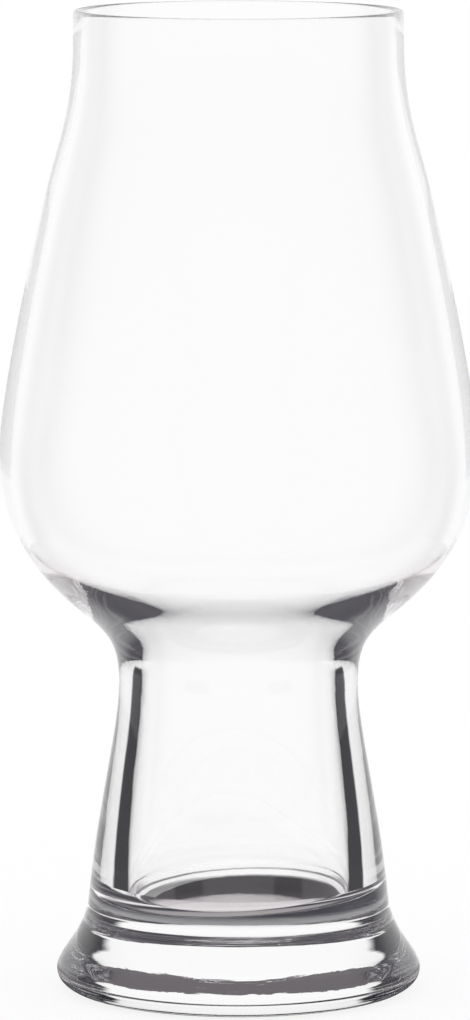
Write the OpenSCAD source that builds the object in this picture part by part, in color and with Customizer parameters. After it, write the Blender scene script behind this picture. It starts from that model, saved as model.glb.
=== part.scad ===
// A stemmed beer glass with a narrow upright neck, a pear-shaped bowl, a thick hollow stem
// and a heavy spreading foot. Three gathers of clear glass meet hot, face to face:
// the blown bowl, the hollow stem and the pressed foot. Millimetres, standing on z = 0.

/* [Whole glass] */
// Height of the glass; the long side of the bowl takes up what the other drops leave
glass_h = 184; // [178:0.5:192]

/* [Mouth] */
// Outside diameter at the lip
mouth_d = 61.4; // [58:0.2:66]
// Thickness of the wall at the lip, which is rounded over
rim_wall = 1.4; // [1:0.1:2]
// Length of the upright neck below the lip
neck_l = 5; // [2:0.5:12]
// Reach of the neck's first bend
neck_ease = 12; // [6:0.5:15]

/* [Bowl] */
// Drop from the foot of the upright neck to the long side
neck_drop = 27.5; // [24:0.5:34]
// Outside diameter where the neck has turned into the long side
side_d = 71; // [69:0.2:74]
// Widening of the long side there, for each millimetre down
side_slope = 0.25; // [0.2:0.01:0.3]
// Wall thickness there
side_wall = 1.5; // [1.1:0.1:2]
// Reach of the long side's straight start, up and down
side_ease = 11; // [6:0.5:13]
// Outside diameter of the belly, the widest place of the glass
belly_d = 89.4; // [86:0.2:94]
// Wall thickness at the belly
belly_wall = 2.2; // [1.8:0.05:2.6]
// Reach of the belly's bend, above its widest place
belly_ease_up = 10.5; // [7:0.5:14]
// Reach of the belly's bend below its widest place, as a share of the way to the corner with the shoulder
belly_ease_down = 0.576; // [0.47:0.001:0.65]
// Reach of the same bend on the inside, as a share of the way to the corner with the inside floor
belly_in_ease = 1.101; // [0.85:0.001:1.23]
// Drop from the belly to the middle of the shoulder
belly_drop = 29.1; // [26:0.1:33]
// Outside diameter at the middle of the shoulder, where the bowl draws in
shoulder_d = 59.4; // [56:0.2:63]
// Narrowing of the shoulder there, for each millimetre down
shoulder_slope = 1.24; // [1:0.01:1.4]
// Reach of the shoulder's straight part, upwards, as a share of the way to the corner with the belly
shoulder_ease_up = 0.778; // [0.57:0.001:0.89]
// Reach of the shoulder's straight part, downwards
shoulder_ease_down = 7; // [4:0.5:9]
// Wall thickness at the shoulder, square to the outside
shoulder_wall = 2.5; // [2:0.1:3.5]
// Narrowing of the bowl's inside floor above the shoulder, for each millimetre down
floor_slope = 1.33; // [1.24:0.01:1.45]
// Reach of that inside floor, upwards, as a share of the way to the corner with the belly
floor_ease_up = 0.512; // [0.38:0.001:0.62]
// Reach of that inside floor, downwards
floor_ease_down = 9.4; // [7:0.2:11]

/* [Stem] */
// Drop from the shoulder to the waist, where the bowl is fused to the stem
shoulder_drop = 14.2; // [12:0.1:17]
// Outside diameter at the waist, the narrowest place of the glass
waist_d = 44.8; // [42:0.2:48]
// Wall thickness at the waist
waist_wall = 4.2; // [3.4:0.1:5]
// Reach of the waist's bend, on both sides of the seam
waist_ease = 7.5; // [4:0.5:9]
// Length of the hollow stem from the waist to the foot
stem_l = 37.8; // [32:0.2:46]
// Outside diameter at the bottom of the stem, where it is fused to the foot
stem_d = 55.8; // [53:0.2:59]
// Widening of the stem there, for each millimetre down
stem_slope = 0.11; // [0.06:0.01:0.16]
// Wall thickness at the bottom of the stem
stem_wall = 6.8; // [5:0.1:8]
// Reach of the stem's straight lower part
stem_ease = 15; // [9:0.5:19]

/* [Foot] */
// Thickness of solid glass under the hollow
base_t = 16.8; // [13:0.2:21]
// Radius between the hollow's floor and its wall
floor_round = 3.2; // [1:0.2:4.4]
// Length of upright collar below the stem
collar_l = 3; // [1:0.2:5]
// Reach of the foot's spreading curve, at its collar
spread_ease = 6.6; // [4:0.2:8]
// Outside diameter of the foot
foot_d = 68.4; // [65:0.2:73]
// Height of the foot's widest place
edge_h = 3.8; // [2.5:0.1:5]
// Reach of the foot's edge, upwards
edge_ease = 3; // [2:0.2:4.4]
// Outside diameter of the flat ring that the glass rests on
rest_d = 58; // [54:0.5:62]
// Width of that ring
rest_w = 6; // [3:0.5:8]
// Height of the shallow hollow under the foot
punt_h = 0.9; // [0.4:0.1:2.5]

/* [Hidden] */
$fn = 96;
// Straight pieces in each curve of a profile
steps = 10;
// Straight pieces over the round of the lip
lip_steps = 8;
// Share of a quarter round's radius that its curve reaches along each end
quarter_reach = 0.55;
clear_glass = [0.86, 0.9, 0.91, 0.45];

// Heights, stacked up from the table to the belly and down from the lip to the long side
foot_h = base_t + floor_round;
waist_z = foot_h + stem_l;
shoulder_z = waist_z + shoulder_drop;
belly_z = shoulder_z + belly_drop;
neck_z = glass_h - neck_l;
side_z = neck_z - neck_drop;

// A step of a given reach along a profile that goes down and widens by slope
function heading(slope, reach) = reach * [slope, -1] / norm([slope, -1]);

// The point at a wall's thickness inside a profile that widens by slope
function inside(point, slope, wall) = point - wall * [1, slope] / norm([1, slope]);

// A smooth curve from one point to the next: it leaves and arrives along the two vectors.
// The first point is left to what comes before
function curve(from, leave, to, arrive) = [
    for (i = [1 : steps])
        let (t = i / steps, u = 1 - t)
            u * u * u * from + 3 * u * u * t * (from + leave) + 3 * u * t * t * (to - arrive) + t * t * t * to
];

function reversed(points) = [for (i = [len(points) - 1 : -1 : 0]) points[i]];

// Places on the outside of the glass, as radius and height
neck_out = [mouth_d / 2, neck_z];
side_out = [side_d / 2, side_z];
belly_out = [belly_d / 2, belly_z];
shoulder_out = [shoulder_d / 2, shoulder_z];
waist_out = [waist_d / 2, waist_z];
seat_out = [stem_d / 2, foot_h];
collar_out = seat_out + collar_l * [stem_slope, -1];
edge_out = [foot_d / 2, edge_h];
rest_out = [rest_d / 2, 0];

// The same places on the inside
neck_in = inside(neck_out, 0, rim_wall);
side_in = inside(side_out, side_slope, side_wall);
belly_in = inside(belly_out, 0, belly_wall);
shoulder_in = inside(shoulder_out, -shoulder_slope, shoulder_wall);
waist_in = inside(waist_out, 0, waist_wall);
seat_in = inside(seat_out, 0, stem_wall);

// One side of the bowl, from the neck down to the waist. Its corner is where the upright line
// at the belly meets the sloping line of the shoulder
function bowl_side(neck, side, belly, belly_ease, shoulder, slope, ease_up, ease_down, waist) =
    let (corner = [belly.x, shoulder.y + (belly.x - shoulder.x) / slope])
        concat(
            [neck],
            curve(neck, heading(0, neck_ease), side, heading(side_slope, side_ease)),
            curve(side, heading(side_slope, side_ease), belly, heading(0, belly_ease_up)),
            curve(belly, belly_ease * (corner - belly), shoulder, ease_up * (shoulder - corner)),
            curve(shoulder, heading(-slope, ease_down), waist, heading(0, waist_ease))
        );

// The half round over the lip, from the inside to the outside
function lip_round() = [
    for (i = [0 : lip_steps])
        let (a = 180 - 180 * i / lip_steps)
            [mouth_d / 2 - rim_wall / 2, glass_h - rim_wall / 2] + rim_wall / 2 * [cos(a), sin(a)]
];

// The blown bowl: thin at the lip, thicker from the shoulder down to the waist, open into the stem below
module bowl() {
    outer = bowl_side(
        neck_out, side_out, belly_out, belly_ease_down, shoulder_out,
        shoulder_slope, shoulder_ease_up, shoulder_ease_down, waist_out
    );
    inner = bowl_side(
        neck_in, side_in, belly_in, belly_in_ease, shoulder_in,
        floor_slope, floor_ease_up, floor_ease_down, waist_in
    );
    color(clear_glass)
        rotate_extrude()
            polygon(concat(outer, reversed(inner), lip_round()));
}

// The hollow stem: a thick tube that widens towards the foot
module stem() {
    outer = curve(waist_out, heading(0, waist_ease), seat_out, heading(stem_slope, stem_ease));
    inner = curve(waist_in, heading(0, waist_ease), seat_in, heading(0, stem_ease));
    color(clear_glass)
        rotate_extrude()
            polygon(concat([waist_out], outer, reversed(inner), [waist_in]));
}

// The pressed foot: solid under the hollow, spreading to a rounded edge, slightly hollow below
module foot() {
    spread = curve(collar_out, heading(stem_slope, spread_ease), edge_out, heading(0, edge_ease));
    under = curve(
        edge_out, [0, -quarter_reach * edge_h],
        rest_out, [-quarter_reach * (edge_out.x - rest_out.x), 0]
    );
    rest_in = rest_out - [rest_w, 0];
    punt_reach = quarter_reach * rest_in.x;
    punt = curve(rest_in, [-punt_reach / 2, punt_h], [0, punt_h], [-punt_reach, 0]);
    hollow = curve(
        [seat_in.x - floor_round, base_t], [quarter_reach * floor_round, 0],
        seat_in, [0, quarter_reach * floor_round]
    );
    color(clear_glass)
        rotate_extrude()
            polygon(concat(
                [seat_out, collar_out], spread, under, [rest_in], punt,
                [[0, base_t], [seat_in.x - floor_round, base_t]], hollow
            ));
}

bowl();
stem();
foot();
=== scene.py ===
import math

import bpy
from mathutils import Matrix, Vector


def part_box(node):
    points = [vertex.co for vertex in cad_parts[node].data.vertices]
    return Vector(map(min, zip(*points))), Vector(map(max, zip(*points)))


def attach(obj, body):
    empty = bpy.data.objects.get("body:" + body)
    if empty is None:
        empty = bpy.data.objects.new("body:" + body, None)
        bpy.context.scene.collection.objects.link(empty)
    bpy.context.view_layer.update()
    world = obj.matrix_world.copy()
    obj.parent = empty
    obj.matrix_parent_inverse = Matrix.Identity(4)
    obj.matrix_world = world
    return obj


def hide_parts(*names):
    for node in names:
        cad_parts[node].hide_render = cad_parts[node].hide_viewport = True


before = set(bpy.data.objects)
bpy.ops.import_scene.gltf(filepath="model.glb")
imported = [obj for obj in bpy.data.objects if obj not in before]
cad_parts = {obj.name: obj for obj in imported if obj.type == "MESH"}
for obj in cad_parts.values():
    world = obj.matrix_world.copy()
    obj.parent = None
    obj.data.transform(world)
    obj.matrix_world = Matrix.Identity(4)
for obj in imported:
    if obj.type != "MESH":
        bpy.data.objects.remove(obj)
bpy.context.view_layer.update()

# Foot of the glass: a heavy pressed disc of clear glass, solid under the hollow of the stem.
# It spreads from an upright collar to a rounded edge and stands on a flat ring, with a shallow
# hollow pressed into its underside. Its top is fused to the stem and is the hollow's floor.
MM = 0.001
foot_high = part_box("foot")[1]
stem_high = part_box("stem")[1]

seat_z = foot_high.z
foot_radius = foot_high.x
stem_radius = stem_high.x
stem_wall = 6.8 * MM
stem_slope = 0.11
hollow_radius = stem_radius - stem_wall
floor_round = 3.2 * MM
floor_z = seat_z - floor_round
floor_tilt = math.radians(2.9)
collar_length = 3 * MM
spread_reach = 6.6 * MM
edge_z = 3.8 * MM
edge_reach = 3 * MM
rest_radius = 29 * MM
rest_width = 6 * MM
punt_height = 0.9 * MM
quarter_reach = 0.55

sides_around = 256
crease_angle = math.radians(30)
merge_within = 0.001 * MM


def down(slope, reach):
    """A reach along a side that goes down and widens by slope."""
    return Vector((slope, -1)).normalized() * reach


def bend(start, leave, end, arrive, pieces=24):
    """Points of a smooth bend from start to end, without start itself."""
    points = []
    for step in range(1, pieces + 1):
        t = step / pieces
        u = 1 - t
        points.append(
            u ** 3 * start
            + 3 * u * u * t * (start + leave)
            + 3 * u * t * t * (end - arrive)
            + t ** 3 * end
        )
    return points


def turn_on_axis(name, outline):
    """A round piece of glass: its closed half outline, drawn with extrude and spun about the axis."""
    bpy.ops.object.select_all(action="DESELECT")
    bpy.ops.mesh.primitive_plane_add(size=1 * MM)
    piece = bpy.context.object
    piece.name = name
    bpy.ops.object.mode_set(mode="EDIT")
    bpy.ops.mesh.select_all(action="SELECT")
    bpy.ops.mesh.merge(type="CENTER")
    bpy.ops.transform.translate(value=(outline[0].x, 0, outline[0].y))
    for here, there in zip(outline, outline[1:]):
        step = there - here
        bpy.ops.mesh.extrude_region_move(TRANSFORM_OT_translate={"value": (step.x, 0, step.y)})
    bpy.ops.mesh.select_all(action="SELECT")
    bpy.ops.mesh.remove_doubles(threshold=merge_within)
    bpy.ops.mesh.select_all(action="SELECT")
    bpy.ops.mesh.spin(steps=sides_around, angle=2 * math.pi, center=(0, 0, 0), axis=(0, 0, 1))
    bpy.ops.mesh.select_all(action="SELECT")
    bpy.ops.mesh.remove_doubles(threshold=merge_within)
    bpy.ops.mesh.normals_make_consistent(inside=False)
    bpy.ops.object.mode_set(mode="OBJECT")
    bpy.ops.object.shade_smooth_by_angle(angle=crease_angle)
    return piece


seat_out = Vector((stem_radius, seat_z))
collar_out = seat_out + Vector((stem_slope, -1)) * collar_length
edge_out = Vector((foot_radius, edge_z))
rest_out = Vector((rest_radius, 0))
rest_in = Vector((rest_radius - rest_width, 0))
punt_top = Vector((0, punt_height))
floor_middle = Vector((0, floor_z))
floor_edge = Vector((hollow_radius - floor_round, floor_z))
seat_in = Vector((hollow_radius, seat_z))

punt_reach = quarter_reach * rest_in.x
foot_outline = [seat_out, collar_out]
foot_outline += bend(
    collar_out, down(stem_slope, spread_reach), edge_out, down(0, edge_reach), pieces=40,
)
foot_outline += bend(
    edge_out, down(0, quarter_reach * edge_z),
    rest_out, Vector((-quarter_reach * (foot_radius - rest_radius), 0)), pieces=20,
)
foot_outline += [rest_in]
foot_outline += bend(rest_in, Vector((-punt_reach / 2, punt_height)), punt_top, Vector((-punt_reach, 0)))
foot_outline += [floor_middle, floor_edge]
foot_outline += bend(
    floor_edge, Vector((quarter_reach * floor_round, 0)),
    seat_in, Vector((0, quarter_reach * floor_round)), pieces=12,
)
foot_outline += [seat_out]
foot = turn_on_axis("foot_glass", foot_outline)

# The floor of the hollow set a little askew as the glass cooled: it rises towards +X.
slack = 0.01 * MM
for vertex in foot.data.vertices:
    in_hollow = math.hypot(vertex.co.x, vertex.co.y) < hollow_radius + slack
    if in_hollow and vertex.co.z > floor_z - slack:
        share = (seat_z - vertex.co.z) / floor_round
        vertex.co.z += share * vertex.co.x * math.tan(floor_tilt)


def arithmetic(tree, operation, *values):
    """One step of arithmetic in a node tree, as a socket."""
    step = tree.nodes.new("ShaderNodeMath")
    step.operation = operation
    for socket, value in zip(step.inputs, values):
        if isinstance(value, bpy.types.NodeSocket):
            tree.links.new(value, socket)
        else:
            socket.default_value = value
    return step.outputs["Value"]


def eased(tree, value, low, high, start=0.0, end=1.0):
    """A value that goes smoothly from start to end while another goes from low to high."""
    ramp = tree.nodes.new("ShaderNodeMapRange")
    ramp.interpolation_type = "SMOOTHSTEP"
    tree.links.new(value, ramp.inputs["Value"])
    ramp.inputs["From Min"].default_value = low
    ramp.inputs["From Max"].default_value = high
    ramp.inputs["To Min"].default_value = start
    ramp.inputs["To Max"].default_value = end
    return ramp.outputs["Result"]


def place(tree, output="Object"):
    """Where a point lies on the piece, or a direction of the sky: its x, y and z."""
    coordinates = tree.nodes.new("ShaderNodeTexCoord")
    split = tree.nodes.new("ShaderNodeSeparateXYZ")
    tree.links.new(coordinates.outputs[output], split.inputs["Vector"])
    return split.outputs["X"], split.outputs["Y"], split.outputs["Z"]


def joined(tree, x, y, z):
    """Three values as one vector."""
    vector = tree.nodes.new("ShaderNodeCombineXYZ")
    for socket, value in zip(vector.inputs, (x, y, z)):
        tree.links.new(value, socket)
    return vector.outputs["Vector"]


def radius_of(tree, x, y):
    """The distance of a point from the axis."""
    squares = arithmetic(tree, "MULTIPLY_ADD", x, x, arithmetic(tree, "MULTIPLY", y, y))
    return arithmetic(tree, "SQRT", squares)


def noise(tree, vector, scale, detail, distortion):
    """An even random pattern, with so many lumps to each unit of its coordinates."""
    pattern = tree.nodes.new("ShaderNodeTexNoise")
    tree.links.new(vector, pattern.inputs["Vector"])
    pattern.inputs["Scale"].default_value = scale
    pattern.inputs["Detail"].default_value = detail
    pattern.inputs["Distortion"].default_value = distortion
    return pattern.outputs["Fac"]


def clear_glass(name):
    """Clear colourless glass, wiped clean, with a trace of smears in its polish."""
    smear_roughness = 0.02
    smears_per_metre = 60
    smears_from = 0.45
    smears_full = 0.75
    glass = bpy.data.materials.new(name)
    glass.use_nodes = True
    tree = glass.node_tree
    shader = tree.nodes["Principled BSDF"]
    shader.inputs["Base Color"].default_value = (1, 1, 1, 1)
    shader.inputs["Transmission Weight"].default_value = 1
    shader.inputs["IOR"].default_value = 1.5
    coordinates = tree.nodes.new("ShaderNodeTexCoord")
    smears = noise(tree, coordinates.outputs["Object"], smears_per_metre, detail=4, distortion=1.5)
    roughness = eased(tree, smears, smears_from, smears_full, 0, smear_roughness)
    tree.links.new(roughness, shader.inputs["Roughness"])
    return glass


def wave_surface(glass, height, depth):
    """Lets the surface rise and fall by a height between 0 and 1, times a depth in metres."""
    tree = glass.node_tree
    bump = tree.nodes.new("ShaderNodeBump")
    bump.inputs["Strength"].default_value = 1
    bump.inputs["Distance"].default_value = depth
    tree.links.new(height, bump.inputs["Height"])
    tree.links.new(bump.outputs["Normal"], tree.nodes["Principled BSDF"].inputs["Normal"])


def pressed_glass():
    """The foot's glass, with the fine rings that the turning press tool left around it."""
    rings_per_metre = 700
    ring_depth = 0.012 * MM
    lumps_around = 0.9
    glass = clear_glass("pressed_glass")
    tree = glass.node_tree
    x, y, z = place(tree)
    radius = radius_of(tree, x, y)
    off_axis = arithmetic(tree, "MAXIMUM", radius, 1 * MM)
    around_x = arithmetic(tree, "MULTIPLY", arithmetic(tree, "DIVIDE", x, off_axis), lumps_around)
    around_y = arithmetic(tree, "MULTIPLY", arithmetic(tree, "DIVIDE", y, off_axis), lumps_around)
    along = arithmetic(tree, "MULTIPLY", arithmetic(tree, "SUBTRACT", z, radius), rings_per_metre)
    rings = noise(tree, joined(tree, around_x, around_y, along), scale=1, detail=3, distortion=0)
    wave_surface(glass, rings, ring_depth)
    return glass


def fused_seam():
    """The seam between two fused gathers, where the glass goes on without a surface."""
    seam = bpy.data.materials.new("fused_seam")
    seam.use_nodes = True
    shader = seam.node_tree.nodes["Principled BSDF"]
    shader.inputs["Alpha"].default_value = 0
    return seam


seam = fused_seam()


def finish_glass(piece, node, glass, seam_heights):
    """Glass all over, with the flat seams to the neighbours left without a surface."""
    flat_from = 0.99
    piece.data.materials.append(glass)
    piece.data.materials.append(seam)
    for face in piece.data.polygons:
        flat = abs(face.normal.z) > flat_from
        at_seam = min(abs(face.center.z - height) for height in seam_heights) < slack
        if flat and at_seam:
            face.material_index = 1
    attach(piece, "root")
    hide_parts(node)


finish_glass(foot, "foot", pressed_glass(), [seat_z])

# Stem of the glass: a thick tube of clear glass, drawn in at the waist and wider at the foot.
# Its hollow is open to the bowl above, and its lower end is fused to the foot.
waist_z = stem_high.z
waist_radius = 22.4 * MM
waist_wall = 4.2 * MM
waist_reach = 7.5 * MM
stem_reach = 15 * MM

waist_out = Vector((waist_radius, waist_z))
waist_in = Vector((waist_radius - waist_wall, waist_z))
stem_outline = [waist_out]
stem_outline += bend(
    waist_out, down(0, waist_reach), seat_out, down(stem_slope, stem_reach), pieces=48,
)
stem_outline += [seat_in]
stem_outline += bend(seat_in, -down(0, stem_reach), waist_in, -down(0, waist_reach), pieces=48)
stem_outline += [waist_out]
stem = turn_on_axis("stem_glass", stem_outline)


def drawn_glass():
    """The stem's glass, very slightly uneven along its length, as drawn glass is."""
    lumps_per_metre = 150
    lump_depth = 0.02 * MM
    lengthwise = 0.4
    glass = clear_glass("drawn_glass")
    tree = glass.node_tree
    x, y, z = place(tree)
    drawn_out = joined(tree, x, y, arithmetic(tree, "MULTIPLY", z, lengthwise))
    uneven = noise(tree, drawn_out, lumps_per_metre, detail=2, distortion=0.5)
    wave_surface(glass, uneven, lump_depth)
    return glass


finish_glass(stem, "stem", drawn_glass(), [seat_z, waist_z])

# Bowl of the glass: one blown gather of clear glass, thin and upright at the neck, widest at the
# belly and thicker again below the shoulder, where it meets the stem. The lip is fire polished
# to a round, and the lower end is fused to the stem.
bowl_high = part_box("bowl")[1]
lip_z = bowl_high.z
lip_pieces = 12
rim_wall = 1.4 * MM
mouth_radius = 30.7 * MM
neck_length = 5 * MM
neck_z = lip_z - neck_length
neck_reach = 12 * MM
neck_drop = 27.5 * MM
side_z = neck_z - neck_drop
side_radius = 35.5 * MM
side_slope = 0.25
side_wall = 1.5 * MM
side_reach = 11 * MM
shoulder_drop = 14.2 * MM
shoulder_z = waist_z + shoulder_drop
shoulder_radius = 29.7 * MM
shoulder_slope = 1.24
shoulder_reach_up = 0.778
shoulder_reach_down = 7 * MM
shoulder_wall = 2.5 * MM
belly_drop = 29.1 * MM
belly_z = shoulder_z + belly_drop
belly_radius = bowl_high.x
belly_wall = 2.2 * MM
belly_reach_up = 10.5 * MM
belly_reach_down = 0.576
belly_reach_inside = 1.101
floor_slope = 1.33
floor_reach_up = 0.512
floor_reach_down = 9.4 * MM


def inside(point, slope, wall):
    """The point at a wall's thickness inside a side that widens by slope."""
    return point - Vector((1, slope)).normalized() * wall


neck_out = Vector((mouth_radius, neck_z))
side_out = Vector((side_radius, side_z))
belly_out = Vector((belly_radius, belly_z))
shoulder_out = Vector((shoulder_radius, shoulder_z))
neck_in = inside(neck_out, 0, rim_wall)
side_in = inside(side_out, side_slope, side_wall)
belly_in = inside(belly_out, 0, belly_wall)
shoulder_in = inside(shoulder_out, -shoulder_slope, shoulder_wall)


def bowl_side(neck, side, belly, belly_reach, shoulder, slope, reach_up, reach_down, waist):
    """One side of the bowl's wall, from the neck down past the corner of belly and shoulder to the waist."""
    corner = Vector((belly.x, shoulder.y + (belly.x - shoulder.x) / slope))
    points = [neck]
    points += bend(neck, down(0, neck_reach), side, down(side_slope, side_reach), pieces=30)
    points += bend(side, down(side_slope, side_reach), belly, down(0, belly_reach_up), pieces=50)
    points += bend(
        belly, belly_reach * (corner - belly), shoulder, reach_up * (shoulder - corner), pieces=40,
    )
    points += bend(shoulder, down(-slope, reach_down), waist, down(0, waist_reach), pieces=30)
    return points


lip_radius = rim_wall / 2
lip_middle = Vector((mouth_radius - lip_radius, lip_z - lip_radius))
lip_round = []
for step in range(lip_pieces + 1):
    angle = math.pi * (1 - step / lip_pieces)
    lip_round.append(lip_middle + lip_radius * Vector((math.cos(angle), math.sin(angle))))

bowl_outside = bowl_side(
    neck_out, side_out, belly_out, belly_reach_down, shoulder_out,
    shoulder_slope, shoulder_reach_up, shoulder_reach_down, waist_out,
)
bowl_inside = bowl_side(
    neck_in, side_in, belly_in, belly_reach_inside, shoulder_in,
    floor_slope, floor_reach_up, floor_reach_down, waist_in,
)
bowl_outline = lip_round + bowl_outside + bowl_inside[::-1] + lip_round[:1]
bowl = turn_on_axis("bowl_glass", bowl_outline)


def blown_glass():
    """The bowl's glass, even in the thin wall, with swirls where it thickens at the shoulder."""
    swirls_per_metre = 220
    swirl_depth = 0.006 * MM
    thick_below = shoulder_z - 2 * MM
    thin_above = shoulder_z + 8 * MM
    glass = clear_glass("blown_glass")
    tree = glass.node_tree
    height = place(tree)[2]
    coordinates = tree.nodes.new("ShaderNodeTexCoord")
    swirls = noise(tree, coordinates.outputs["Object"], swirls_per_metre, detail=1, distortion=2)
    thick = eased(tree, height, thick_below, thin_above, 1, 0)
    wave_surface(glass, arithmetic(tree, "MULTIPLY", swirls, thick), swirl_depth)
    return glass


finish_glass(bowl, "bowl", blown_glass(), [waist_z])

# Studio light: an even white sky all around. What the glass mirrors of it is white from behind, grey from
# beside and faintly rosy from the camera's side. Light that comes through the solid glass of stem and
# foot finds four dark strips of card at the corners of the studio, which draw their dark lines.
white = (1, 1, 1, 1)
rosy_white = (0.84, 0.79, 0.81, 1)
side_grey = (0.50, 0.47, 0.49, 1)
card_black = (0.020, 0.020, 0.024, 1)
slate = (0.033, 0.034, 0.045, 1)
# Painted shade for the dark crescent at the back of the hollow's floor.
crescent_shade = (0.03, 0.028, 0.03, 1)

# The strips: angles from the Y axis, along which the camera looks, and heights of a direction's unit vector.
strip_inner = math.radians(34)
strip_inner_high = math.radians(50)
strip_outer = math.radians(62)
strip_softness = math.radians(2.5)
lean_from = 0.15
lean_to = 0.38
strips_end = -0.48
strips_full = -0.40
eye_level_low = -0.22
eye_level_high = 0.075

# The mirrored room: how far a direction points towards the back, where 1 is straight to it.
front_until = 0
side_at = 0.5
back_from = 0.75

# Light that is lost inside the glass: how often it was mirrored, its share, and the height of its glints.
lost_from = 2
lost_until_high = 24
lost_until_low = 40
lost_share_high = 0.7
glint_until = 9
glint_share = 0.5
glints_low = -0.30
glints_high = 0.15
# Painted shade in the hollow's floor: the least height of a direction whose light takes it.
crescent_shade_above = 0.03


def product(tree, first, *others):
    """Shares multiplied with each other."""
    for other in others:
        first = arithmetic(tree, "MULTIPLY", first, other)
    return first


def rest_of(tree, share):
    """What a share leaves over."""
    return arithmetic(tree, "SUBTRACT", 1, share)


def between(tree, value, low, high):
    """Whether a value lies between two others."""
    above = arithmetic(tree, "GREATER_THAN", value, low)
    return product(tree, above, arithmetic(tree, "LESS_THAN", value, high))


def counted(tree, kind, least, most=math.inf):
    """Whether light was bent (Transmission), mirrored (Glossy) or let pass by a clear sheet (Transparent)
    at least and at most so many times on its way."""
    depth = tree.nodes.new("ShaderNodeLightPath").outputs[kind + " Depth"]
    if most == math.inf:
        return arithmetic(tree, "GREATER_THAN", depth, least - 0.5)
    return between(tree, depth, least - 0.5, most + 0.5)


def mixed(tree, share, first, second):
    """One colour turning into another."""
    mix = tree.nodes.new("ShaderNodeMix")
    mix.data_type = "RGBA"
    for identifier, value in (("Factor_Float", share), ("A_Color", first), ("B_Color", second)):
        socket = next(entry for entry in mix.inputs if entry.identifier == identifier)
        if isinstance(value, bpy.types.NodeSocket):
            tree.links.new(value, socket)
        else:
            socket.default_value = value
    return next(entry for entry in mix.outputs if entry.identifier == "Result_Color")


def in_strips(tree, x, y, z):
    """The share of the light in a direction that the strips stop. Their inner edges lean outwards, and
    on the camera's side they leave out the eye's level."""
    angle = arithmetic(
        tree, "ARCTAN2", arithmetic(tree, "ABSOLUTE", x), arithmetic(tree, "ABSOLUTE", y),
    )
    inner = eased(tree, z, lean_from, lean_to, strip_inner, strip_inner_high)
    past_inner = eased(
        tree, arithmetic(tree, "SUBTRACT", angle, inner), -strip_softness, strip_softness,
    )
    before_outer = eased(tree, angle, strip_outer - strip_softness, strip_outer + strip_softness, 1, 0)
    above_end = eased(tree, z, strips_end, strips_full)
    camera_side = arithmetic(tree, "LESS_THAN", y, 0)
    left_out = product(tree, camera_side, between(tree, z, eye_level_low, eye_level_high))
    return product(tree, past_inner, before_outer, above_end, rest_of(tree, left_out))


def mirrored_room(tree, x, y):
    """The colour that mirrored light finds in a direction."""
    towards_back = arithmetic(tree, "DIVIDE", y, radius_of(tree, x, y))
    colour = mixed(tree, eased(tree, towards_back, side_at, back_from), side_grey, white)
    return mixed(tree, eased(tree, towards_back, front_until, side_at, 1, 0), colour, rosy_white)


def lost_inside(tree, z, low, single_wall):
    """The share of the light that is lost, since it was mirrored many times inside the glass, but for
    glints near the horizon."""
    low_share = product(tree, low, counted(tree, "Glossy", lost_from, lost_until_low))
    high_share = product(
        tree, single_wall, counted(tree, "Glossy", lost_from, lost_until_high), lost_share_high,
    )
    level = between(tree, z, glints_low, glints_high)
    glints = product(tree, level, counted(tree, "Glossy", 0, glint_until), glint_share)
    return product(tree, arithmetic(tree, "MAXIMUM", low_share, high_share), rest_of(tree, glints))


def white_studio():
    """The sky, white but for what light through or off the glass finds in it."""
    world = bpy.data.worlds.new("white_studio")
    world.use_nodes = True
    tree = world.node_tree
    x, y, z = place(tree, "Generated")
    single_wall = counted(tree, "Transmission", 1, 2)
    low = counted(tree, "Transparent", 1)
    sky = mixed(tree, counted(tree, "Glossy", 1), white, mirrored_room(tree, x, y))
    sky = mixed(tree, product(tree, low, single_wall, in_strips(tree, x, y, z)), sky, card_black)
    sky = mixed(tree, lost_inside(tree, z, low, single_wall), sky, slate)

    # Light through the hollow and the foot that was mirrored once on its way up finds a painted dark shade,
    # which draws the dark crescent at the back of the hollow's floor.
    through_hollow = counted(tree, "Transmission", 4, 4)
    upwards = arithmetic(tree, "GREATER_THAN", z, crescent_shade_above)
    from_foot = product(tree, through_hollow, counted(tree, "Glossy", 1, 1), low, upwards)
    sky = mixed(tree, from_foot, sky, crescent_shade)
    background = tree.nodes["Background"]
    tree.links.new(sky, background.inputs["Color"])
    background.inputs["Strength"].default_value = 1
    return world


bpy.context.scene.world = white_studio()

# Screens: a low clear ring around the stem and the foot, through which their light goes on to the
# strips, and a brim above the foot, dark below and white above. Only light through the glass finds them.
screen_radius = 75 * MM
screen_height = 62 * MM
screen_sides = 128
brim_inside = 30 * MM
brim_outside = 101 * MM
brim_grey = (0.13, 0.12, 0.13, 1)


def clear_surface(tree):
    """A surface that lets all light pass."""
    return tree.nodes.new("ShaderNodeBsdfTransparent").outputs["BSDF"]


def shining(tree, colour):
    """A surface that shines in a colour."""
    glow = tree.nodes.new("ShaderNodeEmission")
    tree.links.new(colour, glow.inputs["Color"])
    return glow.outputs["Emission"]


def either(tree, share, first, second):
    """One surface turning into another."""
    mix = tree.nodes.new("ShaderNodeMixShader")
    for socket, value in zip(mix.inputs, (share, first, second)):
        tree.links.new(value, socket)
    return mix.outputs["Shader"]


def cover(tree, surface):
    """Makes a surface the one that a material shows."""
    tree.links.new(surface, tree.nodes["Material Output"].inputs["Surface"])


def clear_sheet():
    """A sheet that only counts the light that it lets pass."""
    sheet = bpy.data.materials.new("clear_sheet")
    sheet.use_nodes = True
    cover(sheet.node_tree, clear_surface(sheet.node_tree))
    return sheet


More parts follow.
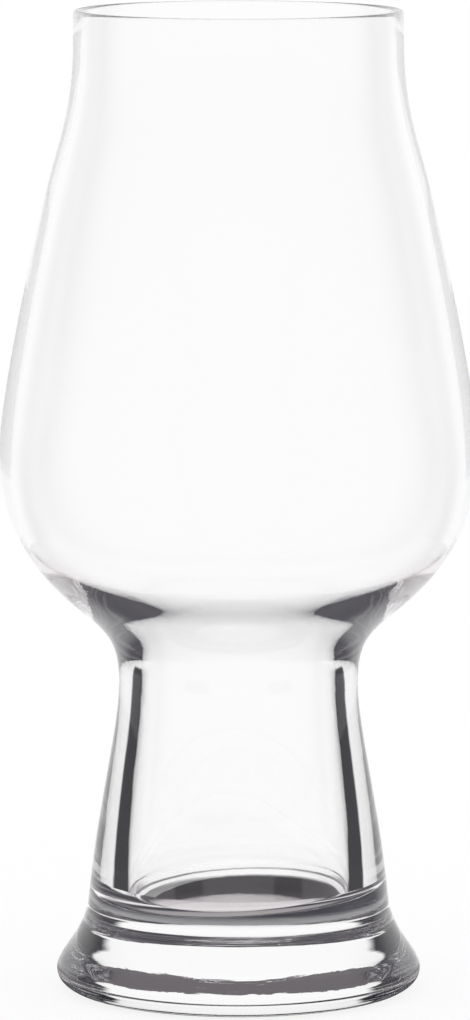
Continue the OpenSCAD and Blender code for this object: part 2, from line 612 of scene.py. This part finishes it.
def brim_card():
    """Card that stops the light from the foot below it and the light from a single wall above it."""
    card = bpy.data.materials.new("brim_card")
    card.use_nodes = True
    tree = card.node_tree
    below = tree.nodes.new("ShaderNodeNewGeometry").outputs["Backfacing"]
    above = rest_of(tree, below)
    single_wall = counted(tree, "Transmission", 0, 2)
    stopped_below = product(tree, below, counted(tree, "Transmission", 0, 4))
    stopped_above = product(tree, above, single_wall, counted(tree, "Glossy", 0, lost_from - 1))
    stopped = arithmetic(tree, "ADD", stopped_below, stopped_above)
    x, y, _ = place(tree)
    upper_side = mixed(tree, counted(tree, "Glossy", 1), white, mirrored_room(tree, x, y))
    underside = mixed(tree, single_wall, card_black, brim_grey)
    sides = shining(tree, mixed(tree, below, upper_side, underside))
    cover(tree, either(tree, stopped, clear_surface(tree), sides))
    return card


def hang_screen(piece, name, material):
    """Makes a piece of the studio a screen for light that comes out of the glass."""
    piece.name = name
    piece.data.materials.append(material)
    piece.visible_camera = False
    piece.visible_diffuse = False
    piece.visible_glossy = False
    piece.visible_shadow = False


bpy.ops.object.select_all(action="DESELECT")
bpy.ops.mesh.primitive_cylinder_add(
    vertices=screen_sides, radius=screen_radius, depth=screen_height, end_fill_type="NOTHING",
    location=(0, 0, screen_height / 2),
)
bpy.ops.object.transform_apply(location=True, rotation=True, scale=True)
hang_screen(bpy.context.object, "clear_ring", clear_sheet())

bpy.ops.object.select_all(action="DESELECT")
bpy.ops.mesh.primitive_circle_add(
    vertices=screen_sides, radius=brim_outside, fill_type="NGON", location=(0, 0, screen_height),
)
bpy.ops.object.mode_set(mode="EDIT")
bpy.ops.mesh.inset(thickness=brim_outside - brim_inside)
bpy.ops.mesh.delete(type="FACE")
bpy.ops.object.mode_set(mode="OBJECT")
bpy.ops.object.transform_apply(location=True, rotation=True, scale=True)
hang_screen(bpy.context.object, "brim", brim_card())

# Floor: a plain white table top that runs out of sight, with the shadow of the glass. Seen through
# the glass it shows a painted shadow: painted grey shade under the foot and a painted dark contact
# shadow where the foot touches it, and around the foot it is as bright as the sky. Mirrored off the
# glass it shows a painted shadow close to the foot.
floor_size = 8
paint_white = 0.16
# How far the painted shadow under the foot is moved towards the camera.
shadow_shift = 1 * MM
# Painted shade of the table under the foot, as light through the solid wall and through the hollow finds it.
shade_through_wall = (0.35, 0.33, 0.34, 1)
shade_through_hollow = (0.83, 0.79, 0.81, 1)
room_from = 31 * MM
room_full = 36 * MM
clear_from = 36 * MM
clear_to = 480 * MM
mirrored_shadow_to = 34 * MM
mirrored_room_from = 42 * MM


def painted_shadow_under_foot(tree, radius, middle, middle_to, dark_from, dark_to, white_from):
    """A painted shadow on the table under the foot: its middle in painted shade, a painted dark ring where
    the foot touches it, and the white around it.
    """
    ramp_reach = 60 * MM
    ramp = tree.nodes.new("ShaderNodeValToRGB")
    tree.links.new(arithmetic(tree, "DIVIDE", radius, ramp_reach), ramp.inputs["Fac"])
    stops = [(middle_to, middle), (dark_from, slate), (dark_to, slate), (white_from, white)]
    marks = ramp.color_ramp.elements
    while len(marks) < len(stops):
        marks.new(1)
    for mark, (reach, colour) in zip(marks, stops):
        mark.position = reach / ramp_reach
        mark.color = colour
    return ramp.outputs["Color"]


def table_through_glass(tree, radius, room):
    """The table as light through the glass finds it, with a painted shadow under the foot. Around the foot,
    light from the stem and the foot goes on to the sky and its strips."""
    mirrored = counted(tree, "Glossy", 1)
    mirrored_beyond = product(tree, mirrored, eased(tree, radius, room_from, room_full))
    mirrored_often = counted(tree, "Glossy", lost_from, lost_until_low)
    # Painted shadow under the foot, as seen through the solid wall and through the hollow.
    through_wall = painted_shadow_under_foot(
        tree, radius, shade_through_wall,
        middle_to=22 * MM, dark_from=26 * MM, dark_to=31 * MM, white_from=35 * MM,
    )
    through_wall = mixed(tree, mirrored_beyond, through_wall, room)
    through_wall = mixed(tree, mirrored_often, through_wall, slate)
    through_hollow = painted_shadow_under_foot(
        tree, radius, shade_through_hollow,
        middle_to=17 * MM, dark_from=23 * MM, dark_to=28 * MM, white_from=31 * MM,
    )
    through_hollow = mixed(tree, mirrored, through_hollow, room)
    colour = mixed(tree, counted(tree, "Transmission", 3), through_wall, through_hollow)

    past_ring = counted(tree, "Transparent", 1)
    inside_ring = arithmetic(tree, "LESS_THAN", radius, screen_radius + shadow_shift)
    from_low = arithmetic(tree, "MAXIMUM", past_ring, inside_ring)
    clear_share = product(tree, between(tree, radius, clear_from, clear_to), from_low)
    return either(tree, clear_share, shining(tree, colour), clear_surface(tree))


def table_off_glass(tree, radius, room):
    """The table as the outside of the glass mirrors it: as the room, with a painted dark shadow close to the
    foot.
    """
    # Painted shadow: the mirrored table turns slate close to the foot.
    near = eased(tree, radius, mirrored_shadow_to, mirrored_room_from, 1, 0)
    return shining(tree, mixed(tree, near, room, slate))


def white_table():
    """White paint that takes the shadow of the glass, and what the glass makes of it: a painted shadow
    around the foot for light through and off the glass.
    """
    table = bpy.data.materials.new("white_table")
    table.use_nodes = True
    tree = table.node_tree
    paint = tree.nodes["Principled BSDF"]
    paint.inputs["Base Color"].default_value = (paint_white, paint_white, paint_white, 1)
    paint.inputs["Specular IOR Level"].default_value = 0
    paint.inputs["Roughness"].default_value = 1
    paint.inputs["Emission Color"].default_value = white
    paint.inputs["Emission Strength"].default_value = 1 - paint_white

    x, y, _ = place(tree)
    radius = radius_of(tree, x, arithmetic(tree, "ADD", y, shadow_shift))
    room = mirrored_room(tree, x, y)
    by_glass = either(
        tree, counted(tree, "Transmission", 1),
        table_off_glass(tree, radius, room), table_through_glass(tree, radius, room),
    )
    path = tree.nodes.new("ShaderNodeLightPath")
    from_glass = arithmetic(
        tree, "MAXIMUM", path.outputs["Is Transmission Ray"], path.outputs["Is Glossy Ray"],
    )
    cover(tree, either(tree, from_glass, paint.outputs["BSDF"], by_glass))
    return table


bpy.ops.object.select_all(action="DESELECT")
bpy.ops.mesh.primitive_plane_add(size=floor_size, location=(0, 0, 0))
floor = bpy.context.object
floor.name = "floor"
floor.data.materials.append(white_table())

# Camera: at the height and distance that the photograph's perspective gives, looking slightly down.
# The many bounces let light that is guided along the thick walls find its way out.
camera_distance = 1299 * MM
camera_height = 258.3 * MM
camera_aside = -0.65 * MM
camera_tilt = math.radians(7.361)
focal_pixels = 7004
image_height = 1020
sensor = 36
bounces = 400
clear_bounces = 64

camera_data = bpy.data.cameras.new("camera")
camera_data.sensor_width = sensor
camera_data.lens = focal_pixels * sensor / image_height
camera = bpy.data.objects.new("camera", camera_data)
camera.location = (camera_aside, -camera_distance, camera_height)
camera.rotation_euler = (math.radians(90) - camera_tilt, 0, 0)

scene = bpy.context.scene
scene.collection.objects.link(camera)
scene.camera = camera
scene.view_settings.view_transform = "Standard"
scene.cycles.max_bounces = bounces
scene.cycles.transmission_bounces = bounces
scene.cycles.glossy_bounces = bounces
scene.cycles.transparent_max_bounces = clear_bounces
